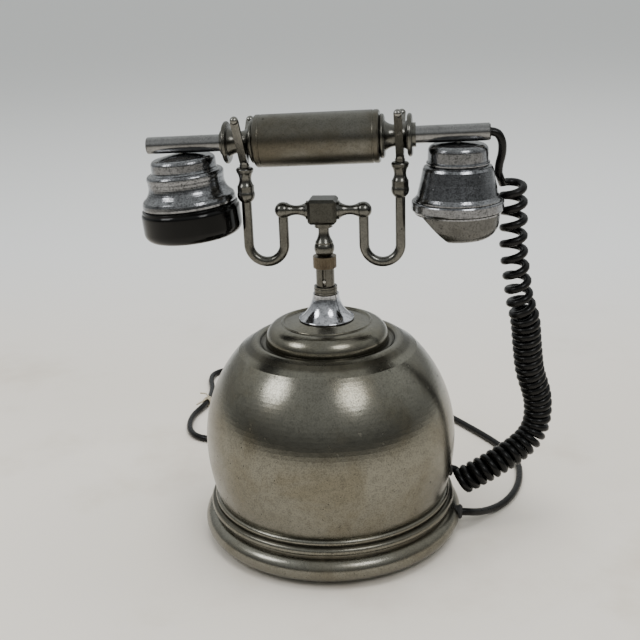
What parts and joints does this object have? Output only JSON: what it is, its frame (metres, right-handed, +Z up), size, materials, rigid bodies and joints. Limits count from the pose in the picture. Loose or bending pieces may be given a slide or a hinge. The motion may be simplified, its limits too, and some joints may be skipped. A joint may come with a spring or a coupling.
{
  "type": "cradle desk telephone",
  "caption": "Metal dome-base desk telephone with a sprung cradle, a straight tube handset, a rotary dial at the front, a curly handset cord and a line cord.",
  "frame": {"origin": "on the dome's axis, level with the underside of the rubber pad", "axes": "+Z up the dome axis, +X towards the mouthpiece end of the handset, +Y towards the dial"},
  "size_m": [0.2798, 0.3415, 0.2678],
  "materials": {
    "satin_nickel": "aged satin nickel, speckled and stained",
    "bright_chrome": "bright with fine pitting",
    "cup_chrome": "mottled, finely pitted",
    "cradle_nickel": "tarnished nickel",
    "grip_nickel": "brownish satin nickel, stained",
    "collar_brown": "dark tarnished, knurled",
    "bezel_nickel": "satin nickel",
    "number_enamel": "cream enamel",
    "inner_steel": "zinc plated",
    "inner_brass": "plain brass",
    "coil_winding": "varnished copper winding",
    "terminal_bakelite": "brown bakelite",
    "black_bakelite": "high gloss black",
    "black_rubber": "matt black rubber",
    "cord_black": "semi-gloss black PVC",
    "plug_cream": "cream plastic"
  },
  "bodies": {
    "base": {"foot_ring": "satin_nickel", "dome_shell": "satin_nickel", "base_plate": "inner_steel", "base_pad": "black_rubber", "base_screws": "inner_steel", "top_cap": "satin_nickel", "stem_cone": "bright_chrome", "lower_collar": "cradle_nickel", "guide_tube": "cradle_nickel", "collar_nut": "collar_brown", "stem_locknut": "inner_steel", "line_grommet": "black_rubber", "curly_grommet": "black_rubber", "dial_bezel": "bezel_nickel", "number_plate": "number_enamel", "finger_stop": "bright_chrome", "dial_can": "inner_steel", "bridge": "inner_steel", "switch_stack": "terminal_bakelite", "ringer_frame": "inner_steel", "ringer_coils": "coil_winding", "gongs": "inner_brass", "terminal_board": "terminal_bakelite", "terminal_screws": "inner_brass", "cradle_spring": "inner_steel", "curly_cord": "cord_black", "line_cord": "cord_black", "line_coil": "cord_black", "line_tail": "cord_black", "line_plug": "plug_cream"},
    "dial": {"finger_wheel": "bright_chrome", "hub_cap": "bezel_nickel"},
    "hook": {"hook_lever": "inner_brass"},
    "clapper": {"clapper": "inner_brass"},
    "cradle": {"cradle_stem": "cradle_nickel", "plunger_pin": "inner_steel", "plunger_collar": "inner_steel", "cradle_block": "cradle_nickel", "left_arm": "cradle_nickel", "right_arm": "cradle_nickel", "left_rod": "cradle_nickel", "right_rod": "cradle_nickel", "left_finial": "cradle_nickel", "right_finial": "cradle_nickel", "left_fork": "cradle_nickel", "right_fork": "cradle_nickel"},
    "handset": {"handset_tube": "cup_chrome", "grip_sleeve": "grip_nickel", "left_spool": "cradle_nickel", "right_spool": "cradle_nickel", "ear_cup": "cup_chrome", "ear_cap": "black_bakelite", "mouth_cup": "cup_chrome", "mouth_rim": "cup_chrome", "mouth_bowl": "cup_chrome", "mouth_grille": "black_bakelite", "cup_screws": "inner_steel", "left_plug": "black_rubber", "right_bush": "black_rubber", "handset_tail": "cord_black"}
  },
  "joints": [
    {"name": "handset_lift", "type": "slide", "parent": "base", "child": "handset", "axis": [0, 0.682, 0.7314], "range_m": [0, 0.12]},
    {"name": "cradle_lift", "type": "slide", "parent": "base", "child": "cradle", "axis": [0, 0, 1], "range_m": [0, 0.0052], "deforming": ["cradle_spring"]},
    {"name": "hook_swing", "type": "hinge", "parent": "base", "child": "hook", "pos_m": [0.02, 0, 0.0667], "axis": [0, 1, 0], "range_deg": [0, 12]},
    {"name": "dial_turn", "type": "hinge", "parent": "base", "child": "dial", "pos_m": [0, 0.06578, 0.08694], "axis": [0, 0.9397, 0.342], "range_deg": [-318, 0], "stiffness_Nm_per_rad": 0.004, "springref_deg": 17.19},
    {"name": "clapper_swing", "type": "hinge", "parent": "base", "child": "clapper", "pos_m": [0, -0.042, 0.012], "axis": [0, 1, 0], "range_deg": [-5, 5], "stiffness_Nm_per_rad": 0.02}
  ],
  "couplings": [
    {"joint": "cradle_lift", "follows": "handset_lift", "ratio": 0.041667},
    {"joint": "hook_swing", "follows": "handset_lift", "rad_per_m": 1.7}
  ]
}
